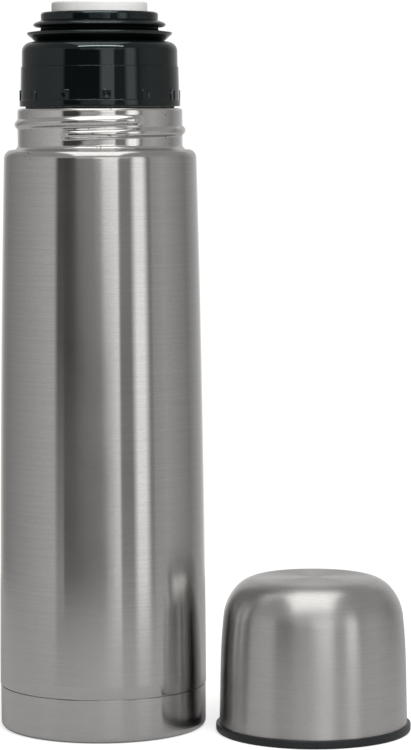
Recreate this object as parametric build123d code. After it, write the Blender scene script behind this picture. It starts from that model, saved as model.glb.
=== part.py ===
from build123d import *
import os
from math import cos, radians, sin

# Vacuum flask with a push-button stopper and a drinking cup, in millimetres.
# The origin is the centre of the flask's foot, +Z runs up the flask's axis, and the cup stands beside
# the flask on the same surface, open side down.

# outer vessel
foot_radius = 41.85
foot_corner = 2.4
seam_z = 17.8            # lower edge of the outer shell
seam_gap = 0.35
shell_low_radius = 42.05
shell_mid_radius = 41.05
shell_top_radius = 38.95
shoulder_z = 234.9
shoulder_corner = 3.6
neck_radius = 33.35
neck_root = 1.8
rim_z = 251.3
rim_corner = 1.3
sheet = 0.5              # thickness of the outer steel
base_plate_z = 4.0

# rolled thread on the outside of the neck, for the cup
neck_lead = 4.9
neck_thread_height = 1.2
neck_thread_turns = 420 / 360
neck_thread_low_z = 240.73
neck_thread_start = -117  # degrees round from +X to the thread's lower end

# inner vessel
mouth_radius = 28.0
bottle_sheet = 0.4
vacuum_gap = 4.0
bottle_low_z = 15.0
bottle_top_z = 222.0

# stopper
stopper_lead = 10.0      # two starts, so the ridges are half of this apart
plug_radius = 25.9
plug_low_z = 224.5
deck_z = 252.4
deck_thickness = 3.0
deck_radius = 30.2
collar_low_z = 252.0
collar_lip_z = 254.5
collar_split_z = 268.0
collar_top_z = 278.0
collar_lip_radius = 32.45
collar_low_radius = 32.1
collar_high_radius = 31.77
collar_inner_radius = 30.35
pad_count = 12
pad_size = (0.6, 3.6, 4.2)
pad_angle = -83.3        # degrees round from +X to the pad nearest the front
cap_radius = 31.45
cap_corner = 4.0
bezel_radius = 23.7
bezel_low_z = 286.4
bezel_top_z = 289.8
pour_gap_radius = 20.45
button_radius = 19.4
button_top_z = 294.0
button_low_z = 283.5
flow_radius = 10.5
stem_radius = 3.0
stem_clearance = 0.08
seat_gap = 0.1           # between the valve's seal and its seat when it is shut

# cup
cup_x = 85.4
cup_y = -14.05
ring_radius = 39.4
ring_height = 3.4
cup_side_radius = 38.05
cup_height = 62.5
cup_crown_radius = 22.0  # flat disc in the middle of the cup's end
cup_end_arc = 12.5
cup_side_arc = 20.0
cup_sheet = 0.5
liner_wall = 1.2
liner_thread_radius = 35.4
liner_thread_crest = 33.9


def spun(*edges):
    """Solid of revolution about the Z axis from outline edges given as (radius, height)."""
    return revolve(Plane.XZ * make_face(Wire(list(edges))), Axis.Z)


def spun_polygon(*points):
    return spun(*Polyline(*points, close=True).edges())


def tube(inner, outer, low, high):
    return spun_polygon((inner, low), (outer, low), (outer, high), (inner, high))


def arc_point(centre, radius, degrees):
    """Point on a circle, with the angle measured up from the radial direction."""
    return (centre[0] + radius * cos(radians(degrees)), centre[1] + radius * sin(radians(degrees)))


def helical_ridge(radius, crest, root_width, crest_width, lead, turns, low_z, start):
    """Thread ridge from radius to crest. A crest smaller than the radius points inwards."""
    path = Helix(pitch=lead, height=lead * turns, radius=radius)
    out = crest - radius
    bite = -0.3 if out > 0 else 0.3
    section = Plane(origin=path @ 0, x_dir=(1, 0, 0), z_dir=path % 0) * make_face(
        Polyline(
            (bite, -root_width / 2),
            (out, -crest_width / 2),
            (out, crest_width / 2),
            (bite, root_width / 2),
            close=True,
        )
    )
    return Pos(0, 0, low_z) * Rot(0, 0, start) * sweep(section, path=path, is_frenet=True)


# outer vessel


def vessel_edges(inset, low_z):
    """Outline of the outer vessel from its lower edge to its rim, moved inwards by inset."""
    low = (shell_low_radius - inset, low_z)
    side_top = (shell_top_radius - inset, shoulder_z - shoulder_corner)
    corner = shoulder_corner - inset
    root = neck_root + inset
    neck = neck_radius - inset
    shoulder = shoulder_z - inset
    rim = rim_z - inset
    rim_arc = rim_corner - inset
    corner_end = (side_top[0] - corner, shoulder)
    root_start = (neck + root, shoulder)
    root_end = (neck, shoulder + root)
    rim_start = (neck, rim - rim_arc)
    rim_end = (neck - rim_arc, rim)
    return [
        ThreePointArc(low, (shell_mid_radius - inset, (low_z + side_top[1]) / 2), side_top),
        RadiusArc(side_top, corner_end, -corner),
        Line(corner_end, root_start),
        RadiusArc(root_start, root_end, root),
        Line(root_end, rim_start),
        RadiusArc(rim_start, rim_end, -rim_arc),
        Line(rim_end, (0, rim)),
        Line((0, rim), (0, low_z)),
        Line((0, low_z), low),
    ]


def outer_shell():
    """Tapered side, shoulder and neck in one drawn sheet, with the cup's thread rolled into the neck."""
    shell = spun(*vessel_edges(0, seam_z)) - spun(*vessel_edges(sheet, seam_z))
    shell -= tube(0, mouth_radius + bottle_sheet + 0.05, shoulder_z, rim_z + 1)
    ridge = helical_ridge(
        neck_radius,
        neck_radius + neck_thread_height,
        4.0,
        1.6,
        neck_lead,
        neck_thread_turns,
        neck_thread_low_z,
        neck_thread_start,
    )
    return shell + ridge


def base_cup():
    """Pressed foot that covers the bottom of the vacuum vessel, with one stamped ring in its floor."""
    top = seam_z - seam_gap
    bend = foot_corner - sheet
    outer = spun(
        Line((0, 0), (foot_radius - foot_corner, 0)),
        RadiusArc((foot_radius - foot_corner, 0), (foot_radius, foot_corner), -foot_corner),
        Line((foot_radius, foot_corner), (foot_radius, top)),
        Line((foot_radius, top), (0, top)),
        Line((0, top), (0, 0)),
    )
    wall = foot_radius - sheet
    inner = spun(
        Line((0, sheet), (wall - bend, sheet)),
        RadiusArc((wall - bend, sheet), (wall, foot_corner), -bend),
        Line((wall, foot_corner), (wall, top)),
        Line((wall, top), (0, top)),
        Line((0, top), (0, sheet)),
    )
    groove_depth = 0.9
    groove = tube(22, 34, 0, groove_depth)
    groove_back = tube(21.4, 34.6, sheet, groove_depth + sheet)
    return outer - inner + groove_back - groove


def vacuum_base_plate():
    """Bottom of the outer vessel, a deep pressed cap whose flange is welded inside the outer shell."""
    radius = foot_radius - sheet - 0.15
    low, top, bend = base_plate_z, 24.0, 3.0
    body = spun(
        Line((0, low), (radius - bend, low)),
        RadiusArc((radius - bend, low), (radius, low + bend), -bend),
        Line((radius, low + bend), (radius, top)),
        Line((radius, top), (radius - sheet, top)),
        Line((radius - sheet, top), (radius - sheet, low + bend)),
        RadiusArc((radius - sheet, low + bend), (radius - bend, low + sheet), bend - sheet),
        Line((radius - bend, low + sheet), (0, low + sheet)),
        Line((0, low + sheet), (0, low)),
    )
    return body - tube(0, 1.0, low - 1, low + sheet + 1)


def vacuum_seal_bead():
    """Bead of solder glass that closes the evacuation hole under the base plate."""
    radius, depth = 3.0, 1.7
    return spun(
        ThreePointArc(
            (0, base_plate_z - depth),
            (radius * 0.7, base_plate_z - depth * 0.7),
            (radius, base_plate_z),
        ),
        Line((radius, base_plate_z), (0, base_plate_z)),
        Line((0, base_plate_z), (0, base_plate_z - depth)),
    )


def getter_pill():
    """Gas-absorbing pill fixed on the vacuum side of the base plate."""
    height = 1.2
    centre = (18, 0, base_plate_z + sheet + height / 2)
    return Pos(*centre) * fillet(Cylinder(5, height).edges(), 0.3)


# inner vessel


def bottle_edges(inset):
    """Outline of the inner bottle's outside from its open lower end to its mouth, moved inwards."""
    step = sheet + vacuum_gap
    low = (shell_low_radius - step - inset, bottle_low_z)
    mid_z = (bottle_low_z + bottle_top_z) / 2
    side = (shell_top_radius + 0.1 - step - inset, bottle_top_z)
    mouth = mouth_radius + bottle_sheet - inset
    bend = 5.0
    bend_centre = (side[0] - bend, bottle_top_z)
    bend_end = arc_point(bend_centre, bend, 55)
    neck_start = (mouth, 232.0)
    return [
        ThreePointArc(low, (shell_mid_radius - step - inset, mid_z), side),
        ThreePointArc(side, arc_point(bend_centre, bend, 27), bend_end),
        Line(bend_end, neck_start),
        Line(neck_start, (mouth, rim_z)),
        Line((mouth, rim_z), (0, rim_z)),
        Line((0, rim_z), (0, bottle_low_z)),
        Line((0, bottle_low_z), low),
    ]


def inner_bottle():
    """Drawn inner wall with the stopper's two thread ridges rolled into its mouth."""
    wall = spun(*bottle_edges(0)) - spun(*bottle_edges(bottle_sheet))
    for turn in range(2):
        wall += helical_ridge(
            mouth_radius, 26.5, 2.2, 1.2, stopper_lead, 0.55, 238.0, 180 * turn
        )
    return wall


def inner_bottle_bottom():
    """Dished disc welded into the lower end of the inner bottle."""
    radius = shell_low_radius - sheet - vacuum_gap - bottle_sheet - 0.1
    flat, dish, flange_height = 12.0, 3.0, 4.0

    def dished(reach, lift):
        low, edge, top = bottle_low_z - dish + lift, bottle_low_z + lift, bottle_low_z + flange_height
        return spun(
            Line((0, low), (flat, low)),
            TangentArc((flat, low), (reach, edge), tangent=(1, 0)),
            Line((reach, edge), (reach, top)),
            Line((reach, top), (0, top)),
            Line((0, top), (0, low)),
        )

    return dished(radius, 0) - dished(radius - bottle_sheet, bottle_sheet)


def reflective_foil():
    """Foil wrapped round the inner bottle, inside the vacuum."""
    clearance, thickness = 0.1, 0.25
    low, high = 30.0, 212.0
    sleeve = spun(*bottle_edges(-clearance - thickness)) - spun(*bottle_edges(-clearance))
    return sleeve & tube(0, 60, low, high)


# stopper


def stopper_gasket():
    """Flat ring that seals the stopper's deck against the flask's rim."""
    return fillet(tube(26.5, 30.0, rim_z + 0.15, deck_z - 0.15).edges(), 0.2)


def plug_body():
    """Threaded plug, its deck and the flow tube, with a spoked guide for the valve stem."""
    wall = 2.5
    deck_top = deck_z + deck_thickness
    plug = tube(plug_radius - wall, plug_radius, plug_low_z, deck_z)
    plug += tube(flow_radius, deck_radius, deck_z, deck_top)
    plug += tube(flow_radius, flow_radius + 1.5, plug_low_z + 7, deck_z)
    guide_low = deck_z - 4
    plug += tube(stem_radius + stem_clearance, 5.2, guide_low, deck_top)
    spoke = Pos(0, 0, guide_low) * Box(
        flow_radius - 3.6, 1.8, 4, align=(Align.MIN, Align.CENTER, Align.MIN)
    )
    for turn in range(3):
        plug += Rot(0, 0, 120 * turn) * Pos(4.4, 0, 0) * spoke
    for turn in range(2):
        plug += helical_ridge(
            plug_radius, 27.4, 2.4, 1.4, stopper_lead, 0.8, 233.0, 90 + 180 * turn
        )
    return plug


def plug_base():
    """Lower cover of the plug, with the valve seat round its port."""
    port = 9.0
    plate = tube(port, plug_radius - 2.55, plug_low_z, plug_low_z + 2.5)
    return plate + tube(port, flow_radius - 0.05, plug_low_z, plug_low_z + 10)


def plug_insulation():
    """Foam ring between the plug's wall and its flow tube."""
    return tube(flow_radius + 1.55, plug_radius - 2.55, plug_low_z + 2.55, deck_z - 0.05)


def collar_ring():
    """Lower half of the collar: slightly flared, with a lip and a row of snap pads above it."""
    ring = spun_polygon(
        (collar_inner_radius, collar_low_z),
        (collar_lip_radius - 0.5, collar_low_z),
        (collar_lip_radius, collar_low_z + 0.5),
        (collar_lip_radius, collar_lip_z),
        (collar_low_radius, collar_lip_z + 0.25),
        (collar_high_radius, collar_split_z - 0.05),
        (collar_inner_radius, collar_split_z - 0.05),
    )
    depth, width, height = pad_size
    pad = Pos(collar_low_radius - 0.25, 0, collar_lip_z) * Box(
        depth, width, height, align=(Align.MIN, Align.CENTER, Align.MIN)
    )
    for turn in range(pad_count):
        ring += Rot(0, 0, pad_angle + turn * 360 / pad_count) * pad
    return ring


def collar_cap():
    """Upper half of the collar, a rounded cover with a spigot that snaps into the lower half."""
    wall = 1.5
    inner = cap_radius - wall
    bend = cap_corner - wall
    hole = pour_gap_radius + 1.5
    under = collar_top_z - wall
    spigot_low = collar_split_z - 6
    return spun(
        Line((hole, collar_top_z), (cap_radius - cap_corner, collar_top_z)),
        RadiusArc(
            (cap_radius - cap_corner, collar_top_z),
            (cap_radius, collar_top_z - cap_corner),
            cap_corner,
        ),
        Line((cap_radius, collar_top_z - cap_corner), (cap_radius, collar_split_z)),
        Line((cap_radius, collar_split_z), (inner + 0.35, collar_split_z)),
        Line((inner + 0.35, collar_split_z), (inner + 0.35, spigot_low)),
        Line((inner + 0.35, spigot_low), (inner - 1, spigot_low)),
        Line((inner - 1, spigot_low), (inner - 1, collar_split_z)),
        Line((inner - 1, collar_split_z), (inner, collar_split_z + 1)),
        Line((inner, collar_split_z + 1), (inner, collar_top_z - cap_corner)),
        RadiusArc((inner, collar_top_z - cap_corner), (inner - bend, under), -bend),
        Line((inner - bend, under), (hole, under)),
        Line((hole, under), (hole, collar_top_z)),
    )


def pour_lip_seal():
    """Soft sleeve round the bezel with two flared lips, the lower one wider."""
    inner = pour_gap_radius + 1.55
    low = collar_top_z + 0.05
    return spun_polygon(
        (inner, low),
        (26.0, low),
        (28.85, 280.85),
        (29.3, 281.35),
        (29.3, 281.75),
        (29.0, 282.05),
        (24.2, 282.75),
        (23.7, 283.25),
        (23.7, 284.0),
        (24.2, 284.35),
        (25.9, 284.35),
        (26.55, 284.65),
        (26.75, 285.1),
        (26.45, 285.7),
        (25.7, 286.05),
        (24.0, bezel_low_z - 0.05),
        (inner, bezel_low_z - 0.05),
    )


def button_bezel():
    """Ring round the button on a sleeve that stands on the plug's deck and holds the lip seal."""
    sleeve = pour_gap_radius + 1.4
    foot = deck_z + deck_thickness + 0.05
    edge = 1.2
    return spun(
        Line((pour_gap_radius, foot), (sleeve, foot)),
        Line((sleeve, foot), (sleeve, bezel_low_z)),
        Line((sleeve, bezel_low_z), (bezel_radius, bezel_low_z)),
        Line((bezel_radius, bezel_low_z), (bezel_radius, bezel_top_z - edge)),
        RadiusArc((bezel_radius, bezel_top_z - edge), (bezel_radius - edge, bezel_top_z), -edge),
        Line((bezel_radius - edge, bezel_top_z), (pour_gap_radius + 0.5, bezel_top_z)),
        Line((pour_gap_radius + 0.5, bezel_top_z), (pour_gap_radius, bezel_top_z - 0.5)),
        Line((pour_gap_radius, bezel_top_z - 0.5), (pour_gap_radius, foot)),
    )


def push_button():
    """Hollow round button with a boss for the stem."""
    wall = 1.6
    body = Pos(0, 0, button_low_z) * Cylinder(
        button_radius,
        button_top_z - button_low_z,
        align=(Align.CENTER, Align.CENTER, Align.MIN),
    )
    body = fillet(body.edges().group_by(Axis.Z)[-1], 0.9)
    body -= tube(0, button_radius - wall, button_low_z - 1, button_top_z - wall)
    boss = tube(stem_radius + 0.02, 4.6, button_low_z + 2, button_top_z - wall)
    return body + boss


def valve_stem():
    """Rod that joins the button to the valve disc."""
    top = button_top_z - 1.6 - 0.02
    low = plug_low_z - 4.5
    return Pos(0, 0, low) * Cylinder(
        stem_radius, top - low, align=(Align.CENTER, Align.CENTER, Align.MIN)
    )


def valve_disc():
    """Disc under the port, pulled up against its seat by the spring."""
    top = plug_low_z - seat_gap - 1.0
    return fillet(tube(stem_radius + 0.02, 12.6, top - 2.6, top).edges(), 0.3)


def valve_seal():
    """Soft ring on the valve disc."""
    return fillet(
        tube(9.6, 12.4, plug_low_z - seat_gap - 1.0, plug_low_z - seat_gap).edges(), 0.2
    )


def return_spring():
    """Coil spring between the stem guide and the underside of the button."""
    wire = 0.45
    coil = 5.9
    turns = 9
    low = deck_z + deck_thickness + wire
    high = button_top_z - 1.6 - wire
    path = Helix(pitch=(high - low) / turns, height=high - low, radius=coil)
    section = Plane(origin=path @ 0, x_dir=(1, 0, 0), z_dir=path % 0) * Circle(wire)
    return Pos(0, 0, low) * sweep(section, path=path, is_frenet=True)


# cup


def cup_edges(inset, low_z, side_radius):
    """Outline of the cup from the centre of its end to its mouth, moved inwards by inset."""
    end_arc, side_arc = cup_end_arc - inset, cup_side_arc - inset
    end_centre = (cup_crown_radius, cup_height - cup_end_arc)
    join, side_start = 41.0, 4.0
    join_point = arc_point(end_centre, end_arc, join)
    side_centre = arc_point(end_centre, cup_end_arc - cup_side_arc, join)
    crown = (cup_crown_radius, cup_height - inset)
    side = arc_point(side_centre, side_arc, side_start)
    end_middle = arc_point(end_centre, end_arc, (join + 90) / 2)
    side_middle = arc_point(side_centre, side_arc, (join + side_start) / 2)
    mouth = (side_radius - inset, low_z)
    along = (sin(radians(side_start)), -cos(radians(side_start)))
    return [
        Line((0, crown[1]), crown),
        ThreePointArc(crown, end_middle, join_point),
        ThreePointArc(join_point, side_middle, side),
        TangentArc(side, mouth, tangent=along),
        Line(mouth, (0, low_z)),
        Line((0, low_z), (0, crown[1])),
    ]


def cup_shell():
    """Drawn steel outside of the cup."""
    low = ring_height + 0.05
    shell = spun(*cup_edges(0, low, cup_side_radius))
    shell -= spun(*cup_edges(cup_sheet, low, cup_side_radius))
    return Pos(cup_x, cup_y, 0) * shell


def cup_liner():
    """Moulded inside of the cup, with the rim ring round its mouth and the thread that fits the neck."""
    outer = cup_sheet + 0.1
    inner = outer + liner_wall
    edge = 1.2
    foot = ring_radius - edge
    liner = spun(*cup_edges(outer, ring_height, cup_side_radius))
    liner += spun(
        Line((0, 0), (foot, 0)),
        RadiusArc((foot, 0), (ring_radius, edge), -edge),
        Line((ring_radius, edge), (ring_radius, ring_height - 0.4)),
        Line((ring_radius, ring_height - 0.4), (ring_radius - 0.4, ring_height)),
        Line((ring_radius - 0.4, ring_height), (0, ring_height)),
        Line((0, ring_height), (0, 0)),
    )
    thread_top = 14.0
    liner -= spun(*cup_edges(inner, thread_top, cup_side_radius))
    liner -= spun_polygon(
        (0, -1),
        (liner_thread_radius + 1.5, -1),
        (liner_thread_radius, 1),
        (liner_thread_radius, thread_top),
        (0, thread_top),
    )
    liner += helical_ridge(
        liner_thread_radius, liner_thread_crest, 2.6, 1.2, neck_lead, 0.8, 5.0, 0
    )
    return Pos(cup_x, cup_y, 0) * liner


nodes = [
    outer_shell,
    base_cup,
    vacuum_base_plate,
    vacuum_seal_bead,
    getter_pill,
    inner_bottle,
    inner_bottle_bottom,
    reflective_foil,
    stopper_gasket,
    plug_body,
    plug_base,
    plug_insulation,
    collar_ring,
    collar_cap,
    pour_lip_seal,
    button_bezel,
    push_button,
    valve_stem,
    valve_disc,
    valve_seal,
    return_spring,
    cup_shell,
    cup_liner,
]

os.makedirs("parts", exist_ok=True)
for build in nodes:
    export_step(build(), f"parts/{build.__name__}.step")
    print("made", build.__name__)
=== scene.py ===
import math

import bmesh
import bpy
from mathutils import Matrix, Vector


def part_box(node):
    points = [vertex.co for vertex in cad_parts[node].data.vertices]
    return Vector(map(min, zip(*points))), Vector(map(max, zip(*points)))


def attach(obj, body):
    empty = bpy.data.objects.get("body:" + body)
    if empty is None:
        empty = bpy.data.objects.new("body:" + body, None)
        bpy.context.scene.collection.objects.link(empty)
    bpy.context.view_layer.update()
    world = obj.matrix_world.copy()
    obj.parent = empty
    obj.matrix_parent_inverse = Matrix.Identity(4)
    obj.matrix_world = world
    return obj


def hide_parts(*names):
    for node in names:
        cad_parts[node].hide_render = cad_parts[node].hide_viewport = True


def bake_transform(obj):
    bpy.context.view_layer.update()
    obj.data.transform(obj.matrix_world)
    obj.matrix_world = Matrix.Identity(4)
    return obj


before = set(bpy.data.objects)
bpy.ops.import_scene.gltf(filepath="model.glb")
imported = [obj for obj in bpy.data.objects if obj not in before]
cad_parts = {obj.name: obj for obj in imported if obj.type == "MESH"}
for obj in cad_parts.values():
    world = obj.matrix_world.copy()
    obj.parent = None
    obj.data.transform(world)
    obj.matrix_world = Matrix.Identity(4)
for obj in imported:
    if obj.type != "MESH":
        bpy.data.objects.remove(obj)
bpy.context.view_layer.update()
mm = 0.001
print("frame loaded:", len(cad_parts), "nodes")


# places read from the frame

flaskLow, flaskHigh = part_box("outer_shell")
footLow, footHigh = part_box("base_cup")
cupLow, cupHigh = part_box("cup_liner")
shellLow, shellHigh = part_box("cup_shell")
ringLow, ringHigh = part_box("collar_ring")
capLow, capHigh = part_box("collar_cap")
lipLow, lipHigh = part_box("pour_lip_seal")
bezelLow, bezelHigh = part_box("button_bezel")
buttonLow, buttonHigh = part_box("push_button")
springLow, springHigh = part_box("return_spring")
plugLow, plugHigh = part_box("plug_body")

seamZ = flaskLow.z
rimZ = flaskHigh.z
bodyRadius = flaskHigh.x
cupAxis = ((cupLow.x + cupHigh.x) / 2, (cupLow.y + cupHigh.y) / 2)


# outlines: lists of (radius, height), in metres

def rounded(corners, steps=6, guard=0.12 * mm):
    # each corner is (radius, height, rounding); guards keep the flats flat beside a rounding
    points = []
    count = len(corners)
    for i, (r, z, rounding) in enumerate(corners):
        here = Vector((r, z))
        if rounding == 0:
            points.append((r, z))
            continue
        before = Vector(corners[i - 1][:2]) - here
        after = Vector(corners[(i + 1) % count][:2]) - here
        half = before.angle(after) / 2
        reach = rounding / math.tan(half)
        start = here + before.normalized() * reach
        end = here + after.normalized() * reach
        centre = here + (before.normalized() + after.normalized()).normalized() * (rounding / math.sin(half))
        first, last = start - centre, end - centre
        turn = first.angle_signed(last)
        if before.length > reach + 2 * guard:
            points.append(tuple(here + before.normalized() * (reach + guard)))
        for step in range(steps + 1):
            spoke = first.copy()
            spoke.rotate(Matrix.Rotation(-turn * step / steps, 2))
            points.append(tuple(centre + spoke))
        if after.length > reach + 2 * guard:
            points.append(tuple(here + after.normalized() * (reach + guard)))
    return points


def arcPoints(centre, radius, fromAngle, toAngle, steps, tall=None):
    # angles in degrees, measured up from the radial direction; tall is the upright radius of an oval arc
    found = []
    for step in range(steps + 1):
        angle = math.radians(fromAngle + (toAngle - fromAngle) * step / steps)
        found.append((centre[0] + radius * math.cos(angle), centre[1] + (tall or radius) * math.sin(angle)))
    return found


def bowed(start, end, bow, steps):
    # a shallow curve from start to end that stands bow further out halfway up
    found = []
    for step in range(steps + 1):
        t = step / steps
        out = bow * 4 * t * (1 - t)
        found.append((start[0] + (end[0] - start[0]) * t + out, start[1] + (end[1] - start[1]) * t))
    return found


# meshes

def spin(name, outline, segments=256, closed=True, axis=(0, 0), sharp=38):
    # turns an outline round the vertical axis
    mesh = bpy.data.meshes.new(name)
    work = bmesh.new()
    uv = work.loops.layers.uv.new("around")
    rings, lengths = [], [0.0]
    for i, (r, z) in enumerate(outline):
        if i:
            lengths.append(lengths[-1] + math.dist(outline[i - 1], outline[i]))
        if r < 1e-7:
            rings.append([work.verts.new((axis[0], axis[1], z))])
            continue
        ring = []
        for s in range(segments):
            angle = 2 * math.pi * s / segments
            ring.append(work.verts.new((axis[0] + r * math.cos(angle), axis[1] + r * math.sin(angle), z)))
        rings.append(ring)
    pairs = len(rings) if closed else len(rings) - 1
    lengths.append(lengths[-1] + math.dist(outline[-1], outline[0]))
    for i in range(pairs):
        below, above = rings[i], rings[(i + 1) % len(rings)]
        if len(below) == 1 and len(above) == 1:
            continue
        for s in range(segments):
            t = (s + 1) % segments
            if len(below) == 1:
                corners = [(below[0], s + 0.5, i), (above[t], s + 1, i + 1), (above[s], s, i + 1)]
            elif len(above) == 1:
                corners = [(below[s], s, i), (below[t], s + 1, i), (above[0], s + 0.5, i + 1)]
            else:
                corners = [
                    (below[s], s, i),
                    (below[t], s + 1, i),
                    (above[t], s + 1, i + 1),
                    (above[s], s, i + 1),
                ]
            face = work.faces.new([c[0] for c in corners])
            face.smooth = True
            for loop, corner in zip(face.loops, corners):
                loop[uv].uv = (corner[1] / segments, lengths[corner[2]] * 4)
    bmesh.ops.recalc_face_normals(work, faces=work.faces)
    limit = math.radians(sharp)
    for edge in work.edges:
        if len(edge.link_faces) == 2 and edge.calc_face_angle(0) > limit:
            edge.smooth = False
    work.to_mesh(mesh)
    work.free()
    piece = bpy.data.objects.new(name, mesh)
    bpy.context.scene.collection.objects.link(piece)
    return piece


def dress(piece, *materials):
    piece.data.materials.clear()
    for material in materials:
        piece.data.materials.append(material)


def place(piece, body, slot, *nodes):
    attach(piece, body)
    if nodes:
        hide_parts(*nodes)
    print("made", piece.name, "with", len(piece.data.polygons), "faces")


# material helpers

def newMaterial(name):
    material = bpy.data.materials.new(name)
    material.use_nodes = True
    nodes = material.node_tree.nodes
    return material, nodes, material.node_tree.links, nodes["Principled BSDF"]


def addNode(nodes, kind, **settings):
    node = nodes.new(kind)
    for key, value in settings.items():
        setattr(node, key, value)
    return node


def objectNoise(nodes, links, stretch, scale, detail=3.0, roughness=0.55, place=(0, 0, 0)):
    # noise over the piece's own coordinates, in metres, squeezed by stretch along each axis
    coordinates = nodes.new("ShaderNodeTexCoord")
    mapping = nodes.new("ShaderNodeMapping")
    mapping.inputs["Location"].default_value = place
    mapping.inputs["Scale"].default_value = stretch
    noise = nodes.new("ShaderNodeTexNoise")
    noise.inputs["Scale"].default_value = scale
    noise.inputs["Detail"].default_value = detail
    noise.inputs["Roughness"].default_value = roughness
    links.new(coordinates.outputs["Object"], mapping.inputs["Vector"])
    links.new(mapping.outputs["Vector"], noise.inputs["Vector"])
    return noise.outputs["Fac"]


def mathNode(nodes, links, operation, *values):
    node = nodes.new("ShaderNodeMath")
    node.operation = operation
    for socket, value in zip(node.inputs, values):
        if isinstance(value, (int, float)):
            socket.default_value = value
        else:
            links.new(value, socket)
    return node.outputs[0]


def remap(nodes, links, source, fromLow, fromHigh, toLow, toHigh):
    node = nodes.new("ShaderNodeMapRange")
    node.inputs["From Min"].default_value = fromLow
    node.inputs["From Max"].default_value = fromHigh
    node.inputs["To Min"].default_value = toLow
    node.inputs["To Max"].default_value = toHigh
    links.new(source, node.inputs["Value"])
    return node.outputs["Result"]


def blendColours(nodes, links, factor, first, second):
    node = nodes.new("ShaderNodeMix")
    node.data_type = "RGBA"
    for socket, colour in ((node.inputs[6], first), (node.inputs[7], second)):
        if isinstance(colour, tuple):
            socket.default_value = (*colour, 1)
        else:
            links.new(colour, socket)
    links.new(factor, node.inputs[0])
    return node.outputs[2]


def addBump(nodes, links, shader, height, strength, distance, previous=None):
    node = nodes.new("ShaderNodeBump")
    node.inputs["Strength"].default_value = strength
    node.inputs["Distance"].default_value = distance
    links.new(height, node.inputs["Height"])
    if previous:
        links.new(previous, node.inputs["Normal"])
    links.new(node.outputs["Normal"], shader.inputs["Normal"])
    return node.outputs["Normal"]


brushing = {
    "light": (0.605, 0.596, 0.587),
    "dark": (0.53, 0.521, 0.513),
    "body": (0.12, 0.17, 0.92),  # least and most roughness, and how much the hairlines spread a highlight
    "cup": (0.27, 0.34, 0.80),
    "hairlineDepth": 0.008 * mm,
}


def brushedSteel(name, finish, centre=(0, 0), scuff=None):
    # steel with hairlines that run round the piece's axis
    roughLow, roughHigh, spread = brushing[finish]
    material, nodes, links, shader = newMaterial(name)
    place = (-centre[0], -centre[1], 0)
    hair = objectNoise(nodes, links, (1, 1, 90), 26, 4, 0.7, place)
    fine = objectNoise(nodes, links, (1, 1, 8), 620, 2, 0.7, place)
    cloud = objectNoise(nodes, links, (1, 1, 0.6), 28, 3, 0.5, place)
    shader.inputs["Metallic"].default_value = 1.0
    shader.inputs["Anisotropic"].default_value = spread
    shader.inputs["Anisotropic Rotation"].default_value = 0.25
    streaks = mathNode(nodes, links, "ADD", hair, fine)
    tone = remap(nodes, links, streaks, 0.78, 1.22, 0.0, 1.0)
    colour = blendColours(nodes, links, tone, brushing["dark"], brushing["light"])
    if scuff:
        # a patch of short dark marks
        spot = addNode(nodes, "ShaderNodeVectorMath", operation="DISTANCE")
        spot.inputs[1].default_value = scuff
        links.new(nodes.new("ShaderNodeTexCoord").outputs["Object"], spot.inputs[0])
        near = remap(nodes, links, spot.outputs["Value"], 1.0 * mm, 3.2 * mm, 0.6, 0)
        marks = remap(nodes, links, objectNoise(nodes, links, (1, 1, 2.6), 620, 1, 0.5), 0.58, 0.64, 0, 1)
        worn = mathNode(nodes, links, "MULTIPLY", near, marks)
        colour = blendColours(nodes, links, worn, colour, (0.13, 0.125, 0.12))
    links.new(colour, shader.inputs["Base Color"])
    rough = remap(nodes, links, cloud, 0.25, 0.75, roughLow, roughHigh)
    links.new(rough, shader.inputs["Roughness"])
    tangent = addNode(nodes, "ShaderNodeTangent", direction_type="UV_MAP", uv_map="around")
    links.new(tangent.outputs["Tangent"], shader.inputs["Tangent"])
    first = addBump(nodes, links, shader, hair, 0.1, brushing["hairlineDepth"])
    addBump(nodes, links, shader, fine, 0.1, brushing["hairlineDepth"], first)
    return material


def polishedSteel(name):
    material, nodes, links, shader = newMaterial(name)
    ripple = objectNoise(nodes, links, (1, 1, 1), 90, 2, 0.5)
    dust = objectNoise(nodes, links, (1, 1, 2), 900, 4, 0.6)
    shader.inputs["Metallic"].default_value = 1.0
    haze = remap(nodes, links, dust, 0.35, 0.7, 0, 1)
    base = blendColours(nodes, links, haze, (0.70, 0.69, 0.68), (0.62, 0.61, 0.60))
    specks = remap(nodes, links, objectNoise(nodes, links, (1, 1, 1.6), 420, 1, 0.4), 0.70, 0.74, 0, 0.7)
    colour = blendColours(nodes, links, specks, base, (0.2, 0.19, 0.18))
    links.new(colour, shader.inputs["Base Color"])
    links.new(remap(nodes, links, dust, 0.3, 0.7, 0.03, 0.08), shader.inputs["Roughness"])
    addBump(nodes, links, shader, ripple, 0.25, 0.05 * mm)
    return material


def innerSteel(name):
    material, nodes, links, shader = newMaterial(name)
    grain = objectNoise(nodes, links, (1, 1, 14), 160, 3, 0.6)
    shader.inputs["Metallic"].default_value = 1.0
    colour = blendColours(nodes, links, grain, (0.52, 0.51, 0.5), (0.66, 0.65, 0.64))
    links.new(colour, shader.inputs["Base Color"])
    links.new(remap(nodes, links, grain, 0.3, 0.7, 0.16, 0.28), shader.inputs["Roughness"])
    addBump(nodes, links, shader, grain, 0.2, 0.02 * mm)
    return material


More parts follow.
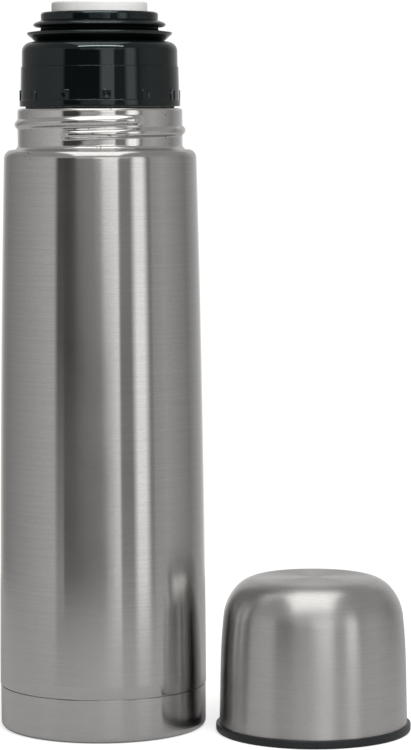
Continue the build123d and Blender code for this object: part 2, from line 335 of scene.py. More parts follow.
def crinkledFoil(name):
    material, nodes, links, shader = newMaterial(name)
    folds = objectNoise(nodes, links, (1, 1, 1), 240, 2, 0.4)
    shader.inputs["Metallic"].default_value = 1.0
    colour = blendColours(nodes, links, folds, (0.74, 0.74, 0.76), (0.84, 0.84, 0.86))
    links.new(colour, shader.inputs["Base Color"])
    links.new(remap(nodes, links, folds, 0.3, 0.7, 0.1, 0.2), shader.inputs["Roughness"])
    addBump(nodes, links, shader, folds, 0.8, 0.5 * mm)
    return material


def sinteredMetal(name):
    material, nodes, links, shader = newMaterial(name)
    grains = objectNoise(nodes, links, (1, 1, 1), 1600, 3, 0.6)
    shader.inputs["Metallic"].default_value = 0.85
    colour = blendColours(nodes, links, grains, (0.3, 0.3, 0.31), (0.5, 0.5, 0.51))
    links.new(colour, shader.inputs["Base Color"])
    links.new(remap(nodes, links, grains, 0.3, 0.7, 0.6, 0.8), shader.inputs["Roughness"])
    addBump(nodes, links, shader, grains, 0.6, 0.05 * mm)
    return material


def solderGlass(name):
    material, nodes, links, shader = newMaterial(name)
    cloud = objectNoise(nodes, links, (1, 1, 1), 500, 3, 0.5)
    colour = blendColours(nodes, links, cloud, (0.30, 0.25, 0.17), (0.40, 0.35, 0.27))
    links.new(colour, shader.inputs["Base Color"])
    links.new(remap(nodes, links, cloud, 0.3, 0.7, 0.05, 0.12), shader.inputs["Roughness"])
    shader.inputs["IOR"].default_value = 1.55
    shader.inputs["Transmission Weight"].default_value = 0.5
    return material


plastics = {
    # name: first colour, second colour, least and most roughness, grain per metre, grain depth, ripple depth
    "glossBlack": ((0.0012, 0.0019, 0.0021), (0.0018, 0.0026, 0.0028), (0.02, 0.04), 420, 0.003, 0.05),
    "plugBlack": ((0.009, 0.010, 0.011), (0.013, 0.014, 0.015), (0.28, 0.4), 600, 0.02, 0.02),
    "lipBlack": ((0.0018, 0.0026, 0.0028), (0.003, 0.0038, 0.004), (0.1, 0.2), 300, 0.004, 0.03),
    # painted shade: a darker, duller black for the groove between the two lips, standing in for the shade the lips cast
    # on each other
    "creaseBlack": ((0.0010, 0.0014, 0.0015), (0.0014, 0.0018, 0.002), (0.5, 0.65), 500, 0.02, 0.02),
    "cupBlack": ((0.006, 0.0075, 0.009), (0.009, 0.011, 0.013), (0.3, 0.45), 700, 0.03, 0.02),
    "buttonWhite": ((0.80, 0.81, 0.80), (0.76, 0.77, 0.76), (0.3, 0.42), 500, 0.02, 0.02),
    "valveWhite": ((0.66, 0.66, 0.63), (0.6, 0.6, 0.57), (0.35, 0.5), 500, 0.02, 0.02),
    "sealGrey": ((0.42, 0.43, 0.42), (0.36, 0.37, 0.36), (0.5, 0.65), 600, 0.02, 0.02),
    "foamCream": ((0.72, 0.69, 0.6), (0.6, 0.57, 0.48), (0.8, 0.95), 900, 0.2, 0.1),
}


def mouldedPlastic(name, tint=(1, 1, 1), sheen=0.5):
    # tint colours the gloss, and sheen sets how strong it is
    first, second, rough, grainScale, grainDepth, rippleDepth = plastics[name]
    material, nodes, links, shader = newMaterial(name)
    cloud = objectNoise(nodes, links, (1, 1, 1), 70, 3, 0.5)
    ripple = objectNoise(nodes, links, (1, 1, 1), 75, 1, 0.4)
    grain = objectNoise(nodes, links, (1, 1, 1), grainScale, 4, 0.6)
    colour = blendColours(nodes, links, remap(nodes, links, cloud, 0.3, 0.7, 0, 1), first, second)
    links.new(colour, shader.inputs["Base Color"])
    links.new(remap(nodes, links, grain, 0.3, 0.7, *rough), shader.inputs["Roughness"])
    shader.inputs["Specular IOR Level"].default_value = sheen
    shader.inputs["Specular Tint"].default_value = (*tint, 1)
    waves = addBump(nodes, links, shader, ripple, 0.8, rippleDepth * mm)
    addBump(nodes, links, shader, grain, 0.4, grainDepth * mm, waves)
    return material


bodySteel = brushedSteel("bodySteel", "body", scuff=(-28.0 * mm, -26.5 * mm, 232.5 * mm))
footSteel = brushedSteel("footSteel", "body")
cupSteel = brushedSteel("cupSteel", "cup", cupAxis)
neckSteel = polishedSteel("neckSteel")
bottleSteel = innerSteel("bottleSteel")
foilBright = crinkledFoil("foilBright")
getterMetal = sinteredMetal("getterMetal")
beadGlass = solderGlass("beadGlass")
coolGloss = (0.85, 1.0, 1.02)
glossBlack = mouldedPlastic("glossBlack", coolGloss)
plugBlack = mouldedPlastic("plugBlack")
lipBlack = mouldedPlastic("lipBlack", coolGloss)
# painted shade for the groove between the lips: a darker black with little gloss
creaseBlack = mouldedPlastic("creaseBlack", sheen=0.08)
cupBlack = mouldedPlastic("cupBlack")
buttonWhite = mouldedPlastic("buttonWhite")
valveWhite = mouldedPlastic("valveWhite")
sealGrey = mouldedPlastic("sealGrey")
foamCream = mouldedPlastic("foamCream")
print("materials made")


# Geometry Nodes trees

def newTree(name, **sockets):
    # a tree with one geometry coming in and out, and a named input for each size
    tree = bpy.data.node_groups.new(name, "GeometryNodeTree")
    tree.interface.new_socket("Geometry", in_out="INPUT", socket_type="NodeSocketGeometry")
    for label, kind in sockets.items():
        tree.interface.new_socket(label, in_out="INPUT", socket_type="NodeSocket" + kind)
    tree.interface.new_socket("Geometry", in_out="OUTPUT", socket_type="NodeSocketGeometry")
    given = tree.nodes.new("NodeGroupInput")
    return tree, tree.nodes, tree.links, given.outputs


def endTree(nodes, links, geometry, *covers):
    # makes instances real, then lays on each material where its selection holds
    real = nodes.new("GeometryNodeRealizeInstances")
    links.new(geometry, real.inputs[0])
    last = real.outputs[0]
    for material, selection in covers:
        cover = nodes.new("GeometryNodeSetMaterial")
        links.new(last, cover.inputs["Geometry"])
        links.new(material, cover.inputs["Material"])
        if selection:
            links.new(selection, cover.inputs["Selection"])
        last = cover.outputs[0]
    links.new(last, nodes.new("NodeGroupOutput").inputs[0])


def applyTree(piece, tree, **values):
    modifier = piece.modifiers.new(tree.name, "NODES")
    modifier.node_group = tree
    for socket in tree.interface.items_tree:
        if socket.in_out == "INPUT" and socket.name in values:
            value = values[socket.name]
            modifier[socket.identifier] = float(value) if socket.socket_type == "NodeSocketFloat" else value
    graph = bpy.context.evaluated_depsgraph_get()
    mesh = bpy.data.meshes.new_from_object(piece.evaluated_get(graph))
    piece.modifiers.clear()
    piece.data = mesh


def threadTree(name, laps=2):
    # raises a rolled thread on the part of a turned piece that has the wall's radius; angles in degrees
    sizes = ("CentreX", "CentreY", "WallRadius", "WallLow", "WallHigh", "Lead", "Height", "HalfWidth",
             "Flatness", "Sweep", "Low", "Start", "Fade", "CoverRadius", "CoverLow")
    sockets = {label: "Float" for label in sizes}
    tree, nodes, links, given = newTree(name, **sockets, Material="Material", Cover="Material")

    def calc(operation, *values):
        return mathNode(nodes, links, operation, *values)

    split = nodes.new("ShaderNodeSeparateXYZ")
    links.new(nodes.new("GeometryNodeInputPosition").outputs[0], split.inputs[0])
    x = calc("SUBTRACT", split.outputs["X"], given["CentreX"])
    y = calc("SUBTRACT", split.outputs["Y"], given["CentreY"])
    z = split.outputs["Z"]
    radius = calc("SQRT", calc("ADD", calc("MULTIPLY", x, x), calc("MULTIPLY", y, y)))
    turn = calc("MULTIPLY", calc("ARCTAN2", y, x), 180 / math.pi)
    first = calc("FLOORED_MODULO", calc("SUBTRACT", turn, given["Start"]), 360)
    best = None
    for lap in range(laps):
        along = calc("ADD", first, 360 * lap)
        middle = calc("ADD", given["Low"], calc("MULTIPLY", given["Lead"], calc("DIVIDE", along, 360)))
        away = calc("DIVIDE", calc("ABSOLUTE", calc("SUBTRACT", z, middle)), given["HalfWidth"])
        bell = calc("POWER", calc("MINIMUM", away, 1), given["Flatness"])
        bell = calc("MULTIPLY_ADD", calc("COSINE", calc("MULTIPLY", bell, math.pi)), 0.5, 0.5)
        ends = calc("MINIMUM", along, calc("SUBTRACT", given["Sweep"], along))
        fade = nodes.new("ShaderNodeMapRange")
        fade.interpolation_type = "SMOOTHSTEP"
        links.new(ends, fade.inputs["Value"])
        links.new(given["Fade"], fade.inputs["From Max"])
        lift = calc("MULTIPLY", bell, fade.outputs["Result"])
        best = calc("MAXIMUM", best, lift) if best else lift
    nearWall = calc("COMPARE", radius, given["WallRadius"], 0.005 * mm)
    between = calc("MULTIPLY", calc("GREATER_THAN", z, given["WallLow"]), calc("LESS_THAN", z, given["WallHigh"]))
    amount = calc("DIVIDE", calc("MULTIPLY", best, given["Height"]), radius)
    amount = calc("MULTIPLY", amount, calc("MULTIPLY", nearWall, between))
    offset = nodes.new("ShaderNodeCombineXYZ")
    links.new(calc("MULTIPLY", x, amount), offset.inputs["X"])
    links.new(calc("MULTIPLY", y, amount), offset.inputs["Y"])
    move = nodes.new("GeometryNodeSetPosition")
    links.new(given["Geometry"], move.inputs["Geometry"])
    links.new(offset.outputs[0], move.inputs["Offset"])
    above = calc("GREATER_THAN", z, given["CoverLow"])
    covered = calc("MULTIPLY", above, calc("LESS_THAN", radius, given["CoverRadius"]))
    endTree(nodes, links, move.outputs[0], (given["Material"], None), (given["Cover"], covered))
    return tree


def turnedRowTree(name):
    # copies what comes in, turned in even steps round the vertical axis
    tree, nodes, links, given = newTree(name, Count="Int", Material="Material")
    points = nodes.new("GeometryNodePoints")
    links.new(given["Count"], points.inputs["Count"])
    step = mathNode(nodes, links, "DIVIDE", 2 * math.pi, given["Count"])
    angle = mathNode(nodes, links, "MULTIPLY", nodes.new("GeometryNodeInputIndex").outputs[0], step)
    turn = nodes.new("FunctionNodeAxisAngleToRotation")
    turn.inputs["Axis"].default_value = (0, 0, 1)
    links.new(angle, turn.inputs["Angle"])
    copies = nodes.new("GeometryNodeInstanceOnPoints")
    links.new(points.outputs[0], copies.inputs["Points"])
    links.new(given["Geometry"], copies.inputs["Instance"])
    links.new(turn.outputs[0], copies.inputs["Rotation"])
    endTree(nodes, links, copies.outputs[0], (given["Material"], None))
    return tree


def coilTree(name):
    # draws one even coil of round wire up the vertical axis
    sizes = {label: "Float" for label in ("Turns", "Radius", "Wire", "Low", "Height")}
    tree, nodes, links, given = newTree(name, **sizes, Material="Material")
    spiral = nodes.new("GeometryNodeCurveSpiral")
    spiral.inputs["Resolution"].default_value = 40
    for label, socket in (
        ("Turns", "Rotations"), ("Radius", "Start Radius"), ("Radius", "End Radius"), ("Height", "Height")
    ):
        links.new(given[label], spiral.inputs[socket])
    section = nodes.new("GeometryNodeCurvePrimitiveCircle")
    section.inputs["Resolution"].default_value = 12
    links.new(given["Wire"], section.inputs["Radius"])
    wire = nodes.new("GeometryNodeCurveToMesh")
    wire.inputs["Fill Caps"].default_value = True
    links.new(spiral.outputs[0], wire.inputs["Curve"])
    links.new(section.outputs[0], wire.inputs["Profile Curve"])
    lift = nodes.new("ShaderNodeCombineXYZ")
    links.new(given["Low"], lift.inputs["Z"])
    move = nodes.new("GeometryNodeTransform")
    links.new(wire.outputs[0], move.inputs["Geometry"])
    links.new(lift.outputs[0], move.inputs["Translation"])
    endTree(nodes, links, move.outputs[0], (given["Material"], None))
    return tree


thread = threadTree("rolledThread")
print("trees made")


# flask body: side, shoulder, neck and rolled thread in one sheet

vessel = {
    "thickness": 0.5 * mm,
    "topRadius": 38.95 * mm,
    "bow": 0.52 * mm,
    "shoulderZ": 234.9 * mm,
    "shoulderCorner": 3.6 * mm,
    "cornerHeight": 3.7 * mm,
    "neckRadius": 33.35 * mm,
    "neckRoot": 1.8 * mm,
    "rimCorner": 1.3 * mm,
    "mouthRadius": 28.45 * mm,
    "neckRings": 64,
    "polishBelow": 0.05 * mm,
    "polishWiden": 1.6 * mm,
}
neckThread = {
    "Lead": 4.9 * mm,
    "Height": 1.2 * mm,
    "HalfWidth": 2.3 * mm,
    "Flatness": 1.35,
    "Sweep": 420,
    "Low": 240.73 * mm,
    "Start": -117,
    "Fade": 8,
}


def vesselOutline():
    v = vessel
    t = v["thickness"]
    cornerZ = v["shoulderZ"] - v["cornerHeight"]
    outside = bowed((bodyRadius, seamZ + 0.25 * mm), (v["topRadius"], cornerZ), v["bow"], 40)
    outside = [(bodyRadius - 0.22 * mm, seamZ), (bodyRadius - 0.06 * mm, seamZ + 0.06 * mm)] + outside
    centre = (v["topRadius"] - v["shoulderCorner"], cornerZ)
    outside += arcPoints(centre, v["shoulderCorner"], 6, 90, 14, v["cornerHeight"])
    rootCentre = (v["neckRadius"] + v["neckRoot"], v["shoulderZ"] + v["neckRoot"])
    outside += arcPoints(rootCentre, v["neckRoot"], 270, 180, 10)
    low, high = rootCentre[1], rimZ - v["rimCorner"]
    for step in range(1, v["neckRings"]):
        outside.append((v["neckRadius"], low + (high - low) * step / v["neckRings"]))
    outside += arcPoints((v["neckRadius"] - v["rimCorner"], high), v["rimCorner"], 0, 90, 8)
    outside += [(v["mouthRadius"] + 0.1 * mm, rimZ), (v["mouthRadius"], rimZ - 0.1 * mm)]
    inside = [
        (v["mouthRadius"], rimZ - t),
        (v["neckRadius"] - v["rimCorner"], rimZ - t),
        (v["neckRadius"] - t, rimZ - v["rimCorner"]),
        (v["neckRadius"] - t, v["shoulderZ"] + 0.8 * mm),
        (v["neckRadius"] + 0.6 * mm, v["shoulderZ"] - t),
        (v["topRadius"] - v["shoulderCorner"], v["shoulderZ"] - t),
        (v["topRadius"] - t - 0.6 * mm, cornerZ + 2 * mm),
    ]
    inside += bowed((v["topRadius"] - t, cornerZ), (bodyRadius - t, seamZ + 0.2 * mm), v["bow"], 12)
    inside += [(bodyRadius - t, seamZ)]
    return outside + inside


vesselSkin = spin("vesselSkin", vesselOutline(), 384)
applyTree(
    vesselSkin,
    thread,
    **neckThread,
    WallRadius=vessel["neckRadius"],
    WallLow=vessel["shoulderZ"] + vessel["neckRoot"],
    WallHigh=rimZ - vessel["rimCorner"],
    CoverRadius=vessel["neckRadius"] + vessel["polishWiden"],
    CoverLow=vessel["shoulderZ"] - vessel["polishBelow"],
    Material=bodySteel,
    Cover=neckSteel,
)
place(vesselSkin, "flask", "body_steel", "outer_shell")


# foot

foot = {"corner": 2.4 * mm, "thickness": 0.5 * mm, "grooveIn": 22 * mm, "grooveOut": 34 * mm, "grooveDepth": 0.9 * mm}


def footOutline():
    r, top, t = footHigh.x, footHigh.z, foot["thickness"]
    gIn, gOut, gZ = foot["grooveIn"], foot["grooveOut"], foot["grooveDepth"]
    return rounded([
        (0, 0, 0),
        (gIn, 0, 0.3 * mm),
        (gIn + 0.3 * mm, gZ, 0.3 * mm),
        (gOut - 0.3 * mm, gZ, 0.3 * mm),
        (gOut, 0, 0.3 * mm),
        (r, 0, foot["corner"]),
        (r, top, 0.12 * mm),
        (r - t, top, 0.1 * mm),
        (r - t, t, foot["corner"] - t),
        (gOut + 0.6 * mm, t, 0.3 * mm),
        (gOut - 0.1 * mm, gZ + t, 0.3 * mm),
        (gIn + 0.1 * mm, gZ + t, 0.3 * mm),
        (gIn - 0.6 * mm, t, 0.3 * mm),
        (0, t, 0),
    ], 8)


footCup = spin("footCup", footOutline(), 256, closed=False)
dress(footCup, footSteel)
place(footCup, "flask", "base_steel", "base_cup")


# cup

cup = {
    "ringHeight": 3.4 * mm,
    "sideRadius": 38.05 * mm,
    "height": 62.5 * mm,
    "crownRadius": 22.0 * mm,
    "endArc": 12.5 * mm,
    "sideArc": 20.0 * mm,
    "join": 41,
    "sideStart": 4,
    "thickness": 0.5 * mm,
    "linerWall": 1.2 * mm,
    "threadRadius": 35.4 * mm,
    "threadTop": 14.0 * mm,
}
cupThread = {
    "Lead": 4.9 * mm,
    "Height": -1.5 * mm,
    "HalfWidth": 1.5 * mm,
    "Flatness": 1.2,
    "Sweep": 288,
    "Low": 5.0 * mm,
    "Start": 0,
    "Fade": 18,
}


def cupSide(inset, mouthZ, endSteps, sideSteps):
    # from the edge of the crown, round the end and down the side to the mouth
    c = cup
    endCentre = (c["crownRadius"], c["height"] - c["endArc"])
    reach = c["endArc"] - c["sideArc"]
    join = math.radians(c["join"])
    sideCentre = (endCentre[0] + reach * math.cos(join), endCentre[1] + reach * math.sin(join))
    found = arcPoints(endCentre, c["endArc"] - inset, 90, c["join"], endSteps)
    found += arcPoints(sideCentre, c["sideArc"] - inset, c["join"], c["sideStart"], endSteps)[1:]
    start, end = found[-1], (c["sideRadius"] - inset, mouthZ)
    slope = math.tan(math.radians(c["sideStart"]))
    fall = start[1] - end[1]
    for step in range(1, sideSteps + 1):
        t = step / sideSteps
        out = slope * fall * t * (1 - t)
        found.append((start[0] + (end[0] - start[0]) * t + out * (1 - t), start[1] - fall * t))
    return found


def cupShellOutline():
    c = cup
    low = c["ringHeight"] + 0.05 * mm
    outer = cupSide(0, low, 14, 24)
    inner = cupSide(c["thickness"], low, 8, 10)
    crown = [(r * c["crownRadius"], c["height"]) for r in (0, 0.1, 0.35, 0.65, 0.95)]
    crownBack = [(c["crownRadius"], c["height"] - c["thickness"]), (0, c["height"] - c["thickness"])]
    return crown + outer + inner[::-1] + crownBack[1:]


def cupLinerOutline():
    c = cup
    gap = c["thickness"] + 0.1 * mm
    inner = gap + c["linerWall"]
    top = c["height"] - gap
    ring = cupHigh.x - cupAxis[0]
    outer = cupSide(gap, c["ringHeight"], 8, 10)
    inside = cupSide(inner, c["threadTop"], 10, 10)
    foot = rounded([
        (outer[-1][0] - 0.5 * mm, c["ringHeight"], 0),
        (ring, c["ringHeight"], 0.45 * mm),
        (ring, 0, 1.2 * mm),
        (c["threadRadius"] + 1.4 * mm, 0, 0.3 * mm),
        (c["threadRadius"], 1.2 * mm, 0.3 * mm),
        (c["threadRadius"], 1.5 * mm, 0),
    ], 8)
    steps = 48
    wall = [(c["threadRadius"], 1.5 * mm + (c["threadTop"] - 1.5 * mm) * s / steps) for s in range(1, steps)]
    wall += [(c["threadRadius"], c["threadTop"])]
    end = [(0, c["height"] - inner)]
    return [(0, top)] + outer[:-1] + [(outer[-1][0], c["ringHeight"])] + foot[1:] + wall + inside[::-1] + end


cupSkin = spin("cupSkin", cupShellOutline(), 288, closed=False, axis=cupAxis)
dress(cupSkin, cupSteel)
place(cupSkin, "cup", "cup_steel", "cup_shell")

cupLining = spin("cupLining", cupLinerOutline(), 256, closed=False, axis=cupAxis)
applyTree(
    cupLining,
    thread,
    **cupThread,
    CentreX=cupAxis[0],
    CentreY=cupAxis[1],
    WallRadius=cup["threadRadius"],
    WallLow=1.6 * mm,
    WallHigh=cup["threadTop"] - 0.1 * mm,
    Material=cupBlack,
    Cover=cupBlack,
)
place(cupLining, "cup", "cup_plastic", "cup_liner")


# stopper

stopper = {
    "lipTop": 254.5 * mm,
    "split": 268.0 * mm,
    "lipRadius": 32.45 * mm,
    "lowRadius": 32.1 * mm,
    "highRadius": 31.77 * mm,
    "innerRadius": 30.35 * mm,
    "capRadius": 31.45 * mm,
    "capCorner": 4.0 * mm,
    "capDraft": 0.17 * mm,
    "capWall": 1.5 * mm,
    "holeRadius": 21.95 * mm,
    "bezelFlange": 286.4 * mm,
    "bezelEdge": 1.2 * mm,
    "pourGap": 20.45 * mm,
    "buttonWall": 1.6 * mm,
    # lip faces inside this radius and below this height get the painted-shade black
    "grooveShadeRadius": 25.2 * mm,
    "grooveShadeTop": 284.4 * mm,
}


def collarOutline():
    s = stopper
    top = ringHigh.z
    return rounded([
        (s["innerRadius"], ringLow.z, 0.2 * mm),
        (s["lipRadius"], ringLow.z, 0.5 * mm),
        (s["lipRadius"], s["lipTop"], 0.25 * mm),
        (s["lowRadius"], s["lipTop"] + 0.15 * mm, 0.1 * mm),
        (s["highRadius"], top, 0.12 * mm),
        (s["innerRadius"], top, 0.1 * mm),
    ], 6)


def capOutline():
    s = stopper
    wall = s["capWall"]
    inner = s["capRadius"] - wall
    return rounded([
        (s["holeRadius"], capHigh.z, 0.2 * mm),
        (s["capRadius"] - s["capDraft"], capHigh.z, s["capCorner"]),
        (s["capRadius"], s["split"], 0.1 * mm),
        (inner + 0.35 * mm, s["split"], 0),
        (inner + 0.35 * mm, capLow.z, 0.2 * mm),
        (inner - 1 * mm, capLow.z, 0.2 * mm),
        (inner - 1 * mm, s["split"], 0),
        (inner, s["split"] + 1 * mm, 0),
        (inner, capHigh.z - wall, s["capCorner"] - wall),
        (s["holeRadius"], capHigh.z - wall, 0),
    ], 12)


def lipOutline():
    inner = stopper["pourGap"] + 1.55 * mm
    low, high = lipLow.z, lipHigh.z
    return rounded([
        (inner, low, 0),
        (25.9 * mm, low, 0.15 * mm),
        (28.9 * mm, 280.65 * mm, 0.35 * mm),
        (29.35 * mm, 281.3 * mm, 0.35 * mm),
        (29.0 * mm, 281.8 * mm, 0.25 * mm),
        (23.7 * mm, 282.5 * mm, 0.5 * mm),
        (23.7 * mm, 284.0 * mm, 0.45 * mm),
        (26.2 * mm, 284.0 * mm, 0.5 * mm),
        (26.85 * mm, 284.7 * mm, 0.4 * mm),
        (26.1 * mm, 285.55 * mm, 0.5 * mm),
        (24.0 * mm, high, 0.2 * mm),
        (inner, high, 0),
    ], 7)


def bezelOutline():
    s = stopper
    sleeve = s["pourGap"] + 1.4 * mm
    radius = bezelHigh.x
    return rounded([
        (s["pourGap"], bezelLow.z, 0),
        (sleeve, bezelLow.z, 0),
        (sleeve, s["bezelFlange"], 0),
        (radius - 0.1 * mm, s["bezelFlange"], 0.15 * mm),
        (radius, bezelHigh.z, s["bezelEdge"]),
        (s["pourGap"], bezelHigh.z, 0.5 * mm),
    ], 9)


def buttonOutline():
    wall = stopper["buttonWall"]
    radius, top = buttonHigh.x, buttonHigh.z
    return rounded([
        (0, top, 0),
        (radius - 0.15 * mm, top, 0.9 * mm),
        (radius, buttonLow.z, 0.3 * mm),
        (radius - wall, buttonLow.z, 0.3 * mm),
        (radius - wall, top - wall, 0.5 * mm),
        (4.6 * mm, top - wall, 0),
        (4.6 * mm, buttonLow.z + 2 * mm, 0.2 * mm),
        (3.02 * mm, buttonLow.z + 2 * mm, 0.2 * mm),
        (3.02 * mm, top - wall, 0),
        (0, top - wall, 0),
    ], 8)


for name, outline, material, slot, node, body, closed in (
    ("collarRing", collarOutline(), glossBlack, "stopper_black", "collar_ring", "stopper", True),
    ("collarCap", capOutline(), glossBlack, "stopper_black", "collar_cap", "stopper", True),
    ("lipSeal", lipOutline(), lipBlack, "lip_rubber", "pour_lip_seal", "stopper", True),
    ("bezelRing", bezelOutline(), glossBlack, "stopper_black", "button_bezel", "stopper", True),
    ("roundButton", buttonOutline(), buttonWhite, "button_white", "push_button", "button", False),
):
    piece = spin(name, outline, 256, closed=closed)
    dress(piece, material)
    if name == "lipSeal":
        # faces in the groove between the lips take the darker, duller black: painted shade where the lips shade each
        # other
        dress(piece, material, creaseBlack)
        for face in piece.data.polygons:
            reach = math.hypot(face.center.x, face.center.y)
            if reach < stopper["grooveShadeRadius"] and face.center.z < stopper["grooveShadeTop"]:
                face.material_index = 1
    place(piece, body, slot, node)


# snap pads round the collar: one pad, turned into a full row

pads = {
    "count": 12,
    "angle": -83.3,
    "width": 3.6 * mm,
    "height": 4.1 * mm,
    "inner": 31.8 * mm,
    "outer": 32.42 * mm,
    "frame": 0.55 * mm,
    "recess": 0.24 * mm,
    "rounding": 0.11 * mm,
}


def makePad():
    low, high = stopper["lipTop"], stopper["lipTop"] + pads["height"]
    half = pads["width"] / 2
    work = bmesh.new()
    bmesh.ops.create_cube(work, size=1)
    for vert in work.verts:
        vert.co.x = pads["outer"] if vert.co.x > 0 else pads["inner"]
        vert.co.y = math.copysign(half, vert.co.y)
        vert.co.z = high if vert.co.z > 0 else low - 0.1 * mm
    face = max(work.faces, key=lambda f: f.calc_center_median().x)
    bmesh.ops.inset_region(work, faces=[face], thickness=pads["frame"], depth=0)
    bmesh.ops.translate(work, verts=list(face.verts), vec=(-pads["recess"], 0, 0))
    bmesh.ops.bevel(work, geom=list(work.edges), offset=pads["rounding"], segments=2, affect="EDGES")
    bmesh.ops.rotate(
        work, verts=list(work.verts), cent=(0, 0, 0), matrix=Matrix.Rotation(math.radians(pads["angle"]), 3, "Z")
    )
    for face in work.faces:
        face.smooth = True
    mesh = bpy.data.meshes.new("collarPads")
    work.to_mesh(mesh)
    work.free()
    piece = bpy.data.objects.new("collarPads", mesh)
    bpy.context.scene.collection.objects.link(piece)
    return piece


collarPads = makePad()
applyTree(collarPads, turnedRowTree("turnedRow"), Count=pads["count"], Material=glossBlack)
place(collarPads, "stopper", "stopper_black")


# return spring: one coil drawn by a tree, squeezed between stopper and button

spring = {"turns": 9.0, "radius": 5.9 * mm, "wire": 0.45 * mm}


springWire = bpy.data.objects.new("springWire", bpy.data.meshes.new("springWire"))
bpy.context.scene.collection.objects.link(springWire)
wireSize = spring["wire"] * 1.03
applyTree(
    springWire,
    coilTree("coil"),
    Turns=spring["turns"],
    Radius=spring["radius"],
    Wire=spring["wire"],
    Low=springLow.z + wireSize,
    Height=springHigh.z - springLow.z - 2 * wireSize,
    Material=neckSteel,
)
for face in springWire.data.polygons:
    face.use_smooth = True
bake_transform(springWire)
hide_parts("return_spring")
print("made springWire")


# remaining CAD nodes keep their shapes

for node, material in (
    ("inner_bottle", bottleSteel),
    ("inner_bottle_bottom", bottleSteel),
    ("vacuum_base_plate", bottleSteel),
    ("reflective_foil", foilBright),
    ("getter_pill", getterMetal),
    ("vacuum_seal_bead", beadGlass),
    ("plug_body", plugBlack),
    ("plug_base", plugBlack),
    ("plug_insulation", foamCream),
    ("stopper_gasket", sealGrey),
    ("valve_seal", sealGrey),
    ("valve_stem", valveWhite),
    ("valve_disc", valveWhite),
):
    dress(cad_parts[node], material)


# studio: a pale room with boards, seen only in the reflections; angles in degrees, compass angle 0 is the camera's side

studio = {
    "room": [(-180, 1.15), (-166, 0.75), (-147, 0.33), (-134, 0.27), (-90, 0.43), (-60, 0.56), (0, 0.42), (60, 0.38),
             (80, 0.48), (120, 0.27), (138, 0.42), (160, 0.62), (170, 0.9), (180, 1.15)],
    "boards": {
        # name: (from, to, edges), (lowest, highest, edges), brightness, lean in degrees round for each one up
        "ceiling": ((-200, 200, 1, 1), (22, 100, 8, 8), 0.36, 0),
        "behindLeft": ((-200, -150, 2, 8), (4, 34, 4, 8), 0.58, 0),
        "behindRight": ((150, 200, 8, 2), (4, 34, 4, 8), 0.58, 0),
        "doorway": ((-51.5, 60, 5, 1), (-11.5, 16, 2, 2), 0.055, 0),
        "doorTop": ((-27, 37, 4, 2), (7.5, 22, 3, 3), 0.65, 0),
        "doorFoot": ((-56, -42, 2, 2), (-14, -6.8, 1.5, 1.5), 0.62, 0),
        "doorGlow": ((-23, 60, 5, 5), (-3, 2.7, 2, 0.7), 0.42, -4),
        "keyLow": ((12.5, 24, 14, 5), (-12, 0.2, 3, 2), 0.92, 0),
        "keyHigh": ((3.5, 23.5, 6, 5), (0.4, 22, 2, 3), 1.38, 0),
        "keyTop": ((-4, 23.5, 6, 5), (7, 22, 3, 3), 1.4, 0),
        "gap": ((23, 37, 2, 3), (-12, 7.5, 3, 3), 0.22, 0),
        "sideBoard": ((40, 56, 7, 8), (-12, 22, 3, 3), 1.28, 0),
        "sideEdge": ((58.5, 63, 2, 2), (-12, 20, 3, 3), 0.27, 0),
        "ground": ((-200, 200, 1, 1), (-100, -10.2, 1, 2.5), 0.44, 0),
    },
    # the soft box overhead: left to right as a sine, then its angle up from the camera's side
    "softBox": {"across": (-0.42, 0.36, 0.06, 0.06), "along": (44, 106, 8, 8), "level": 1.65},
    "backdrop": 1.05,
    "floorRadius": 420 * mm,
    "floorGlow": 0.66,
    "lamp": {"power": 18.0, "size": 0.9, "at": (0.45, -1.1, 1.25), "aim": (0.03, 0, 0.2)},
    # a bright strip above the camera that only the stopper's black parts show
    "strip": {"power": 9.0, "wide": 1.2, "high": 0.07, "distance": 1.1, "rise": 47, "side": 4},
}


def softBand(nodes, links, source, low, high, lowEdge, highEdge):
    rise = remap(nodes, links, source, low - lowEdge / 2, low + lowEdge / 2, 0, 1)
    fall = remap(nodes, links, source, high - highEdge / 2, high + highEdge / 2, 1, 0)
    return mathNode(nodes, links, "MULTIPLY", rise, fall)


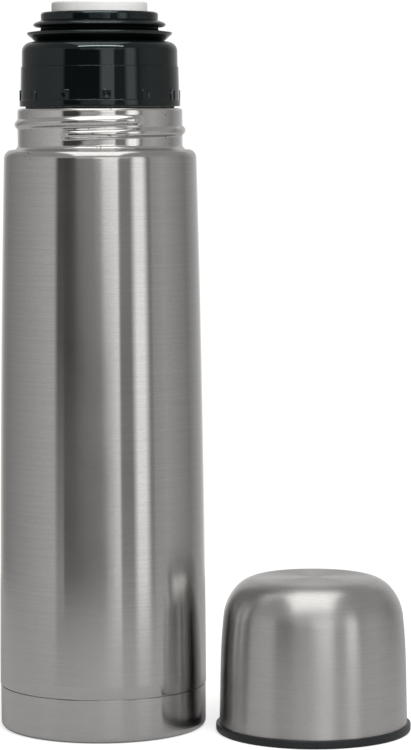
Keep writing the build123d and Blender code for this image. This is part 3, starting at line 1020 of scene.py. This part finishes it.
def makeWorld():
    world = bpy.data.worlds.new("studioWorld")
    bpy.context.scene.world = world
    world.use_nodes = True
    nodes, links = world.node_tree.nodes, world.node_tree.links
    nodes.clear()
    direction = nodes.new("ShaderNodeTexCoord")
    split = nodes.new("ShaderNodeSeparateXYZ")
    links.new(direction.outputs["Generated"], split.inputs["Vector"])
    towards = mathNode(nodes, links, "MULTIPLY", split.outputs["Y"], -1.0)
    around = mathNode(nodes, links, "ARCTAN2", split.outputs["X"], towards)
    compass = mathNode(nodes, links, "MULTIPLY", around, 180 / math.pi)
    rise = mathNode(nodes, links, "ARCSINE", split.outputs["Z"])
    height = mathNode(nodes, links, "MULTIPLY", rise, 180 / math.pi)
    ramp = nodes.new("ShaderNodeValToRGB")
    elements = ramp.color_ramp.elements
    elements.remove(elements[1])
    for i, (degrees, level) in enumerate(studio["room"]):
        at = (degrees + 180) / 360
        element = elements[0] if i == 0 else elements.new(at)
        element.position = at
        element.color = (level / 2, level / 2, level / 2, 1)
    links.new(remap(nodes, links, compass, -180, 180, 0, 1), ramp.inputs["Fac"])
    level = mathNode(nodes, links, "MULTIPLY", ramp.outputs["Color"], 2.0)
    for sides, heights, brightness, lean in studio["boards"].values():
        bearing = mathNode(nodes, links, "MULTIPLY_ADD", height, -lean, compass)
        across = softBand(nodes, links, bearing, *sides)
        upright = softBand(nodes, links, height, *heights)
        cover = mathNode(nodes, links, "MULTIPLY", across, upright)
        change = mathNode(nodes, links, "SUBTRACT", brightness, level)
        level = mathNode(nodes, links, "MULTIPLY_ADD", change, cover, level)
    box = studio["softBox"]
    steep = mathNode(nodes, links, "ARCTAN2", split.outputs["Z"], towards)
    climb = mathNode(nodes, links, "MULTIPLY", steep, 180 / math.pi)
    across = softBand(nodes, links, split.outputs["X"], *box["across"])
    along = softBand(nodes, links, climb, *box["along"])
    cover = mathNode(nodes, links, "MULTIPLY", across, along)
    change = mathNode(nodes, links, "SUBTRACT", box["level"], level)
    level = mathNode(nodes, links, "MULTIPLY_ADD", change, cover, level)
    room = nodes.new("ShaderNodeBackground")
    room.inputs["Color"].default_value = (1.0, 0.992, 0.98, 1)
    links.new(level, room.inputs["Strength"])
    plain = nodes.new("ShaderNodeBackground")
    plain.inputs["Color"].default_value = (1, 1, 1, 1)
    plain.inputs["Strength"].default_value = studio["backdrop"]
    path = nodes.new("ShaderNodeLightPath")
    mix = nodes.new("ShaderNodeMixShader")
    links.new(path.outputs["Is Camera Ray"], mix.inputs["Fac"])
    links.new(room.outputs["Background"], mix.inputs[1])
    links.new(plain.outputs["Background"], mix.inputs[2])
    output = nodes.new("ShaderNodeOutputWorld")
    links.new(mix.outputs["Shader"], output.inputs["Surface"])


def makeFloor():
    floor = spin("floor", [(0, -0.05 * mm), (studio["floorRadius"], -0.05 * mm)], 96, closed=False)
    material, nodes, links, shader = newMaterial("floorPaper")
    grain = objectNoise(nodes, links, (1, 1, 1), 40, 3, 0.5)
    links.new(blendColours(nodes, links, grain, (0.44, 0.44, 0.44), (0.48, 0.48, 0.48)), shader.inputs["Base Color"])
    shader.inputs["Roughness"].default_value = 0.8
    shader.inputs["Specular IOR Level"].default_value = 0.0
    shader.inputs["Emission Color"].default_value = (1, 1, 1, 1)
    path = nodes.new("ShaderNodeLightPath")
    glow = mathNode(nodes, links, "MULTIPLY", path.outputs["Is Camera Ray"], studio["floorGlow"])
    links.new(glow, shader.inputs["Emission Strength"])
    dress(floor, material)


def makeLamp():
    # soft light for the matt parts; the steel shows only the boards
    settings = studio["lamp"]
    data = bpy.data.lights.new("softLamp", "AREA")
    data.energy = settings["power"]
    data.shape = "DISK"
    data.size = settings["size"]
    lamp = bpy.data.objects.new("softLamp", data)
    lamp.location = settings["at"]
    aim = Vector(settings["aim"]) - Vector(settings["at"])
    lamp.rotation_euler = aim.to_track_quat("-Z", "Y").to_euler()
    lamp.visible_glossy = False
    bpy.context.scene.collection.objects.link(lamp)


def makeStrip(*pieces):
    settings = studio["strip"]
    data = bpy.data.lights.new("stripLamp", "AREA")
    data.energy = settings["power"]
    data.shape = "RECTANGLE"
    data.size, data.size_y = settings["wide"], settings["high"]
    rise, side = math.radians(settings["rise"]), math.radians(settings["side"])
    towards = Vector((math.cos(rise) * math.sin(side), -math.cos(rise) * math.cos(side), math.sin(rise)))
    lamp = bpy.data.objects.new("stripLamp", data)
    lamp.location = Vector((0, 0, capHigh.z)) + towards * settings["distance"]
    lamp.rotation_euler = (-towards).to_track_quat("-Z", "Y").to_euler()
    bpy.context.scene.collection.objects.link(lamp)
    shown = bpy.data.collections.new("stripReceivers")
    for piece in pieces:
        shown.objects.link(piece)
    lamp.light_linking.receiver_collection = shown


makeWorld()
makeFloor()
makeLamp()
makeStrip(*(bpy.data.objects[name] for name in ("collarRing", "collarCap", "lipSeal", "bezelRing", "collarPads")))
print("studio made")


# camera

view = {
    "distance": 1182.9 * mm,
    "side": 42.5 * mm,
    "height": 240.75 * mm,
    "tilt": 4.709,
    "roll": 0.19,
    "lens": 140.2,
}
camera = bpy.data.objects.new("camera", bpy.data.cameras.new("camera"))
camera.data.lens = view["lens"]
camera.data.sensor_width = 36
camera.location = (view["side"], -view["distance"], view["height"])
camera.rotation_mode = "XYZ"
camera.rotation_euler = (math.radians(90 - view["tilt"]), math.radians(view["roll"]), 0)
bpy.context.scene.collection.objects.link(camera)
bpy.context.scene.camera = camera
bpy.context.scene.view_settings.view_transform = "Standard"
print("camera placed")
